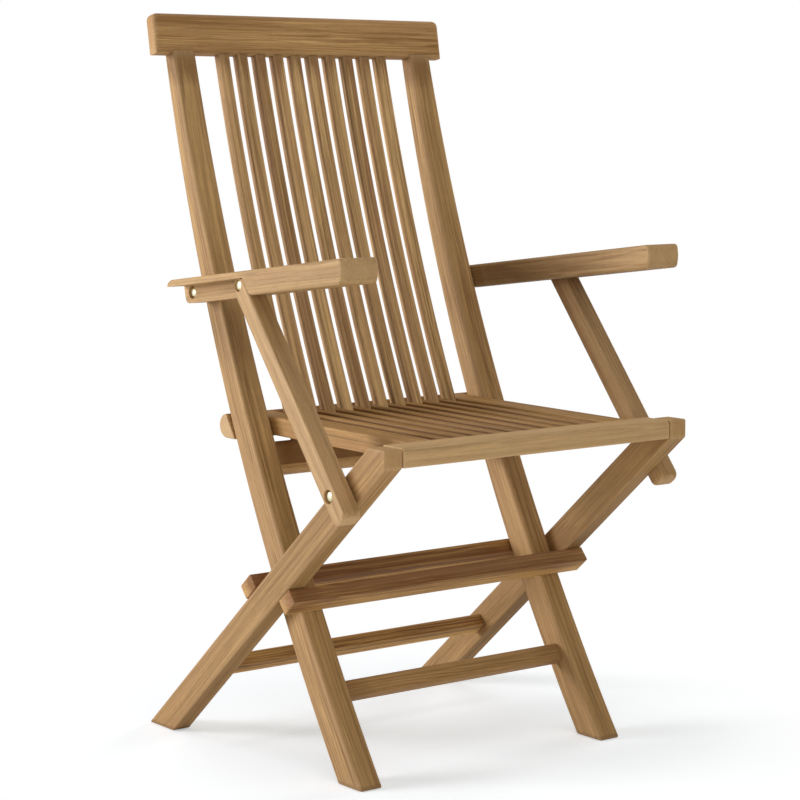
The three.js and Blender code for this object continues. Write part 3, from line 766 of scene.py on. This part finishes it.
def makeSeatFront():
    front = seat["frontEdge"] - seatPivot.y
    depth = seat["frontDepth"]
    along = Matrix.Translation((0, front + depth / 2, 0))
    place = seatPlace @ along @ stickFrame(Vector(), sideways, rearwards)
    bm = newBlock(depth, seat["thickness"], 2 * seat["halfWidth"])
    top = [e for e in bm.edges if isAlong(e, upwards)
           and e.verts[0].co.x < 0 and e.verts[0].co.y > 0]
    curved = set(roundEdges(bm, top, seat["noseRound"], 6))
    curved |= set(roundEdges(bm, sharpEdges(bm, 60), seat["round"], 3))
    easeFlats(bm, curved, seat["frontInset"])
    bmesh.ops.transform(bm, matrix=place, verts=bm.verts)
    read = straightStick(place, depth, seat["thickness"], 2 * seat["halfWidth"])
    finishWood(bm, "seatFrontRail", "seat_front_rail", "seat", "teak_seat_rails", read, 61, 4, 0.1)


def makeSeatBar():
    bar = seatBar
    start = Vector((0, bar["centre"].y, bar["centre"].z - bar["radius"]))
    turned = dict(centre=bar["centre"], angle=90 + bar["topAngle"], steps=18)
    bm = outlineBoard([barLow, start], -seat["halfWidth"], seat["halfWidth"], turned)
    roundEdges(bm, sharpEdges(bm, 30), bar["round"], 3)
    place = stickFrame(bar["centre"], sideways, upwards)
    read = straightStick(place, 2 * bar["radius"], 2 * bar["radius"], 2 * seat["halfWidth"])
    finishWood(bm, "seatRearBar", "seat_rear_bar", "seat", "teak_seat_rails", read, 62, 2, -0.1)


def makeSeatStrip(name, node, slot, fromX, toX, seed, tone, sideShading):
    # the side's tone, painted shade below the top face and painted light where it is positive, is added to
    # the tone there
    front = seat["frontEdge"] - seatPivot.y + seat["frontDepth"] + joint
    width = toX - fromX
    centre = Vector(((fromX + toX) / 2, front + seat["uncut"] / 2, 0))
    place = seatPlace @ stickFrame(centre, rearwards, sideways)
    bm = newBlock(width, seat["thickness"], seat["uncut"])
    bmesh.ops.transform(bm, matrix=place, verts=bm.verts)
    slant = (barTop - barLow).normalized()
    facing = Vector((0, slant.z, -slant.y))
    cutOff(bm, barLow - facing * joint, facing)
    curved = set(roundEdges(bm, sharpEdges(bm, 20), seat["round"], 3))
    easeFlats(bm, curved, seat["inset"])
    tip = seatPlace @ Vector((0, front, 0))
    ends = [(tip, -rearwards, 1.0), (barLow, facing, 0.8)]
    read = straightStick(place, width, seat["thickness"], ends=ends)
    start, full = (below - seat["thickness"] / 2 for below in seat["sideFrom"])
    tone = toneAlong(1, (start, tone), (full, tone + sideShading))
    finishWood(bm, name, node, "seat", slot, read, seed, seat["round"], tone)


def makeSeat():
    makeSeatFront()
    makeSeatBar()
    inner, outer = seat["boardInner"], seat["boardOuter"]
    # the right board's sides get painted shade and the left board's sides painted light
    for side, fromX, toX, seed, tone, sideShading in (
        ("Right", inner, outer, 63, 0.35, -0.9), ("Left", -outer, -inner, 64, 0.1, 0.6),
    ):
        makeSeatStrip("seatBoard" + side, "seat_board_" + side.lower(), "teak_seat_boards", fromX, toX,
                      seed, tone, sideShading)
    half = seat["slatWidth"] / 2
    for i in range(seat["slats"]):
        x = slatX(i, seat["slats"])
        makeSeatStrip(f"seatSlat{i + 1}", f"seat_slat_{i + 1}", "teak_seat_slats", x - half, x + half,
                      70 + i, seat["tones"][i], seat["slatSideShade"])


# Armrests and their supports

arm = dict(
    innerX=223.5, stepX=252, outerX=281, thickness=32.6, slope=-0.1135, frontY=-235.6, frontZ=685.2,
    rear=172, slant=5.5, heel=8, nose=3, round=4, inset=1.6, lip=9, clearance=0.6, reach=70,
    tail=((3, 2.5), (10, 0)),      # how far before the rear and below the top its slope passes
    loops=(-170, -90, -5, 80),
    # tones: painted shade on the right armrest, darker towards the rear by the post; the left one lighter
    # towards the rear
    tones={"Right": toneAlong(2, (-220, 0.1), (-150, -0.4), (-90, -1.0), (0, -1.1), (90, -1.6)),
           "Left": toneAlong(2, (-150, 0.0), (-90, 0.3), (0, 0.8))},
)
support = dict(
    innerX=253, outerX=281, width=27.5, lean=38.7, tail=39, tailRound=10, round=3, head=9.3, turn=106,
    inset=1.4, chamfer=8.5, shoulder=0.5, tip=9, loops=(-100, -55, -30),
    # tones: painted shade on the right support, darker towards its head under the armrest; foreEdge and its
    # tone: painted shade on the fore face
    tones={"Right": toneAlong(2, (-100, 0.0), (-55, -0.4), (-30, -1.2)), "Left": toneAlong(2, (-100, 0.2))},
    foreEdge=(1.5, 3), foreShade=-0.4,
)
bolt = dict(headRadius=7.0, headHeight=4.0, rim=0.3, shank=4.0, sink=5.0, inset=27, outset=21, bore=9.2,
            headBore=8.2, past=4)
supportUp = leaning(support["lean"])
supportFore = leaning(support["lean"] - 90)


def armTop(y):
    return arm["frontZ"] + (y - arm["frontY"]) * arm["slope"]


def makeArmrests():
    frontY, rear = arm["frontY"], arm["rear"]
    heel = Vector((0, rear - arm["slant"], armTop(rear) - arm["thickness"]))
    outline = [
        Vector((0, frontY, armTop(frontY) - arm["thickness"])),
        heel,
        Vector((0, rear, armTop(rear) - arm["lip"])),
        *(Vector((0, rear - before, armTop(rear - before) - below)) for before, below in arm["tail"]),
        Vector((0, frontY, armTop(frontY))),
    ]
    along = Vector((0, 1, arm["slope"])).normalized()
    middleX = (arm["innerX"] + arm["outerX"]) / 2
    middleZ = armTop(0) - arm["thickness"] / 2
    place = stickFrame(Vector((middleX, 0, middleZ)), along, sideways)
    ends = [(Vector((0, frontY - arm["nose"], 0)), -rearwards, 1.0), (Vector((0, rear, 0)), rearwards, 1.0)]
    read = straightStick(place, arm["outerX"] - arm["innerX"], arm["thickness"], ends=ends)
    for number, (side, mirror) in enumerate(bothSides):
        bm = outlineBoard(outline, arm["innerX"], arm["outerX"])
        addLoops(bm, Vector(), rearwards, arm["loops"])
        noseEdges = [e for e in bm.edges if all(abs(v.co.y - frontY) < 0.01 for v in e.verts)
                     and not isAlong(e, sideways)]
        bmesh.ops.subdivide_edges(bm, edges=noseEdges, cuts=5, use_grid_fill=True)
        low = armTop(frontY) - arm["thickness"]
        for vertex in bm.verts:
            if abs(vertex.co.y - frontY) < 0.01:
                t = (vertex.co.z - low) / arm["thickness"]
                vertex.co.y -= 4 * t * (1 - t) * arm["nose"]
        atHeel = [e for e in bm.edges if isAlong(e, sideways) and abs(e.verts[0].co.y - heel.y) < 0.01
                  and e.verts[0].co.z < heel.z + 1]
        curved = set(roundEdges(bm, atHeel, arm["heel"], 6))
        curved |= set(roundEdges(bm, sharpEdges(bm, 40), arm["round"], 4))
        easeFlats(bm, curved, arm["inset"])
        shoulder = support["width"] / 2 + arm["clearance"]
        lowPoint = supportPivot + supportFore * shoulder - supportUp * arm["reach"]
        rise = armTop(lowPoint.y) - arm["lip"] - lowPoint.z
        highPoint = lowPoint + supportUp * (rise / (supportUp.z - arm["slope"] * supportUp.y))
        beyond = rear + arm["reach"]
        rebate = outlineBoard(
            [lowPoint, Vector((0, beyond, lowPoint.z)), Vector((0, beyond, armTop(beyond) - arm["lip"])),
             highPoint],
            arm["stepX"], arm["outerX"] + bolt["past"],
        )
        bm = cutAway(bm, [rebate])
        step = arm["stepX"]
        bm = cutAway(bm, [drill(armPivot, bolt["bore"], step - bolt["sink"], step + bolt["past"])])
        finishWood(bm, "armrest" + side, "armrest_" + side.lower(), "armrest_" + side.lower(),
                   "teak_armrests", read, 80 + number, arm["round"], arm["tones"][side], mirror)


def makeArmSupports():
    half = support["width"] / 2
    middleX = (support["innerX"] + support["outerX"]) / 2
    middle = stickFrame(supportFoot + sideways * middleX, supportUp, sideways)
    turned = math.radians(90 - support["turn"])
    outline = [
        supportPivot + supportFore * half + supportUp * support["shoulder"],
        supportFoot + supportFore * half - supportUp * support["tail"],
        supportFoot - supportFore * half - supportUp * support["tail"],
        supportPivot - supportFore * half - supportUp * support["chamfer"],
        supportPivot + Vector((0, math.cos(turned), math.sin(turned))) * support["head"],
    ]
    ends = [(supportFoot - supportUp * support["tail"], -supportUp, 1.0),
            (supportPivot + supportUp * support["tip"], supportUp, 1.0)]
    read = straightStick(middle, support["outerX"] - support["innerX"], support["width"], ends=ends)
    for number, (side, mirror) in enumerate(bothSides):
        bm = outlineBoard(outline, support["innerX"], support["outerX"],
                          dict(centre=supportPivot, angle=support["turn"], steps=10))
        tail = [e for e in sharpEdges(bm, 60) if isAlong(e, sideways)
                and (e.verts[0].co - supportFoot).dot(supportUp) < -30]
        curved = set(roundEdges(bm, tail, support["tailRound"], 6))
        curved |= set(roundEdges(bm, sharpEdges(bm, 60), support["round"], 4))
        easeFlats(bm, curved, support["inset"])
        outerX = support["outerX"]
        bores = [drill(place, bolt[bore], outerX - bolt["sink"], outerX + bolt["past"])
                 for place, bore in ((supportPivot, "headBore"), (supportFoot, "bore"))]
        bm = cutAway(bm, bores)
        addLoops(bm, supportPivot, supportUp, support["loops"])
        start, gone = (inside - half for inside in support["foreEdge"])
        across = toneAlong(1, (start, support["foreShade"]), (gone, 0.0))
        along = support["tones"][side]
        reach = Vector((0, 0, (supportPivot - supportFoot).length))
        finishWood(bm, "armSupport" + side, "arm_support_" + side.lower(), "arm_support_" + side.lower(),
                   "teak_arm_supports", read, 84 + number, support["round"],
                   lambda local: across(local) + along(local - reach), mirror)


# Bolts, pins and washers

def makeBolt(name, node, body, centre, headX, shankX, mirror):
    bm = bmesh.new()
    bmesh.ops.create_uvsphere(bm, u_segments=32, v_segments=16, radius=1)
    geometry = bm.verts[:] + bm.edges[:] + bm.faces[:]
    bmesh.ops.bisect_plane(bm, geom=geometry, plane_co=(0, 0, 0), plane_no=(0, 0, -1), clear_outer=True)
    radius, height = bolt["headRadius"], bolt["headHeight"]
    rimHeight = height * bolt["rim"]
    bmesh.ops.scale(bm, vec=(radius, radius, height - rimHeight), verts=bm.verts)
    bmesh.ops.translate(bm, verts=bm.verts, vec=(0, 0, rimHeight))
    for scale, drop in ((1.0, rimHeight), (bolt["shank"] / radius, 0.0), (1.0, headX - shankX)):
        rim = [e for e in bm.edges if e.is_boundary]
        pushed = bmesh.ops.extrude_edge_only(bm, edges=rim)
        verts = [g for g in pushed["geom"] if isinstance(g, bmesh.types.BMVert)]
        bmesh.ops.scale(bm, vec=(scale, scale, 1), verts=verts)
        bmesh.ops.translate(bm, vec=(0, 0, -drop), verts=verts)
    bmesh.ops.holes_fill(bm, edges=[e for e in bm.edges if e.is_boundary])
    bmesh.ops.rotate(bm, verts=bm.verts, matrix=Matrix.Rotation(math.pi / 2, 3, "Y"))
    bmesh.ops.translate(bm, verts=bm.verts, vec=(headX, centre.y, centre.z))
    if mirror:
        bmesh.ops.scale(bm, vec=(-1, 1, 1), verts=bm.verts)
    bmesh.ops.recalc_face_normals(bm, faces=bm.faces[:])
    bmesh.ops.scale(bm, vec=(mm, mm, mm), verts=bm.verts)
    piece = holdMesh(bm, name)
    piece.data.shade_smooth()
    piece.data.set_sharp_from_angle(angle=math.radians(40))
    piece.data.materials.append(brasses["brass_bolts"])
    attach(piece, body)
    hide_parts(node)


def makeFastenings():
    stand = joint - bolt["sink"]
    for side, mirror in bothSides:
        low = side.lower()
        makeBolt("armBolt" + side, "arm_bolt_" + low, "back_frame", armPivot, arm["stepX"] + stand,
                 post["outerX"] - bolt["inset"] + joint, mirror)
        makeBolt("supportBolt" + side, "support_bolt_" + low, "armrest_" + low, supportPivot,
                 support["outerX"] + stand, arm["stepX"] - bolt["outset"] + joint, mirror)
        makeBolt("supportFootBolt" + side, "support_foot_bolt_" + low, "arm_support_" + low, supportFoot,
                 support["outerX"] + stand, support["innerX"], mirror)
    for name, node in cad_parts.items():
        for word, slot in (("_pin_", "brass_pins"), ("_washer_", "brass_washers")):
            if word in name:
                for place in node.material_slots:
                    place.material = brasses[slot]


makePosts()
makeBackSlats()
makeTopRail()
makeRails()
print("back frame and rails made")
makeLegs()
makeSeat()
print("legs and seat made")
makeArmrests()
makeArmSupports()
makeFastenings()
print("armrests, supports and brass made")


# Floor, light and camera

studio = dict(
    floorSize=9.0, floorZ=-0.0003, floorColour=(0.85, 0.85, 0.85), floorGlow=0.41,
    glowColour=(0.87, 0.95, 0.98),
    fadeFrom=0.34, fadeTo=0.62,
    ambient=0.1, ambientColour=(1.0, 0.93, 0.83), sheen=0.4,
    keyPlace=Vector((-4.2, 2.4, 1.5)), keySize=2.0, keyPower=200, keyColour=(1.0, 1.0, 1.08),
    topPlace=Vector((0.0, -0.3, 3.0)), topSize=3.0, topPower=40,
    frontPlace=Vector((-1.2, -3.2, 1.2)), frontSize=2.5, frontPower=30,
    sidePlace=Vector((4.2, 1.0, 0.9)), sideSize=2.0, sidePower=100,
    lowPlace=Vector((-0.25, -0.95, 0.02)), lowSize=1.0, lowPower=2.0, lowColour=(1.0, 0.92, 0.78),
)


def mixShaders(tree, factor, first, second, output):
    mixed = addNode(tree, "ShaderNodeMixShader")
    for socket, part in zip(mixed.inputs, (factor, first, second)):
        tree.links.new(part, socket)
    tree.links.new(mixed.outputs[0], tree.nodes[output].inputs["Surface"])


def makeFloor():
    # its part near the chair takes the shadows, and the camera sees the rest of it as plain white
    bm = bmesh.new()
    bmesh.ops.create_grid(bm, x_segments=2, y_segments=2, size=studio["floorSize"] / 2)
    floor = holdMesh(bm, "floor")
    floor.location.z = studio["floorZ"]
    material, tree, shader = newMaterial("floor")
    shader.inputs["Base Color"].default_value = (*studio["floorColour"], 1)
    shader.inputs["Roughness"].default_value = 0.9
    shader.inputs["Specular IOR Level"].default_value = 0.1
    place = addNode(tree, "ShaderNodeTexCoord").outputs["Object"]
    away = vector2(tree, "LENGTH", place, (0, 0, 0))
    fade = mapRange(tree, away, studio["fadeFrom"], studio["fadeTo"])
    path = addNode(tree, "ShaderNodeLightPath")
    glow = math2(tree, "MULTIPLY", path.outputs["Is Camera Ray"], studio["floorGlow"])
    shader.inputs["Emission Color"].default_value = (*studio["glowColour"], 1)
    feed(tree, shader.inputs["Emission Strength"], glow)
    fade = math2(tree, "MULTIPLY", fade, path.outputs["Is Camera Ray"])
    white = addNode(tree, "ShaderNodeEmission")
    mixShaders(tree, fade, shader.outputs[0], white.outputs[0], "Material Output")
    floor.data.materials.append(material)


def makeWorld():
    world = bpy.data.worlds.new("studio")
    bpy.context.scene.world = world
    world.use_nodes = True
    tree = world.node_tree
    lit = tree.nodes["Background"]
    lit.inputs["Color"].default_value = (*studio["ambientColour"], 1)
    lit.inputs["Strength"].default_value = studio["ambient"]
    white = addNode(tree, "ShaderNodeBackground")
    white.inputs["Color"].default_value = (1, 1, 1, 1)
    white.inputs["Strength"].default_value = 1.0
    path = addNode(tree, "ShaderNodeLightPath")
    mirrored = math2(tree, "MULTIPLY", path.outputs["Is Glossy Ray"], studio["sheen"])
    seen = math2(tree, "MAXIMUM", path.outputs["Is Camera Ray"], mirrored)
    mixShaders(tree, seen, lit.outputs[0], white.outputs[0], "World Output")


def makeLamp(name, place, target, size, power, colour):
    data = bpy.data.lights.new(name, "AREA")
    data.shape, data.size, data.energy, data.color = "SQUARE", size, power, colour
    lamp = bpy.data.objects.new(name, data)
    lamp.location = place
    lamp.rotation_mode = "QUATERNION"
    lamp.rotation_quaternion = (target - place).to_track_quat("-Z", "Y")
    lamp.visible_camera = False
    lamp.visible_glossy = name != "side"
    bpy.context.scene.collection.objects.link(lamp)


def makeLamps():
    centre = Vector((0, 0, 0.5))
    overLow = studio["lowPlace"] + Vector((0, 0, 1))
    for name in ("key", "top", "front", "side", "low"):
        target = overLow if name == "low" else centre
        makeLamp(name, studio[name + "Place"], target, studio[name + "Size"], studio[name + "Power"],
                 studio.get(name + "Colour", (1, 1, 1)))


camera = dict(lens=104.0, place=Vector((-1.8978, -2.5220, 0.8356)), azimuth=-36.749, pitch=6.59, roll=-0.289)


def makeCamera():
    a, e, r = (math.radians(camera[k]) for k in ("azimuth", "pitch", "roll"))
    back = Vector((math.sin(a) * math.cos(e), -math.cos(a) * math.cos(e), math.sin(e)))
    right = Vector((math.cos(a), math.sin(a), 0))
    up = back.cross(right)
    turnedRight = right * math.cos(r) + up * math.sin(r)
    turnedUp = up * math.cos(r) - right * math.sin(r)
    data = bpy.data.cameras.new("camera")
    data.lens, data.sensor_width = camera["lens"], 36.0
    seer = bpy.data.objects.new("camera", data)
    turn = Matrix((turnedRight, turnedUp, back)).transposed().to_4x4()
    seer.matrix_world = Matrix.Translation(camera["place"]) @ turn
    bpy.context.scene.collection.objects.link(seer)
    bpy.context.scene.camera = seer


makeFloor()
makeWorld()
makeLamps()
makeCamera()
bpy.context.scene.view_settings.view_transform = "Standard"
print("studio made")
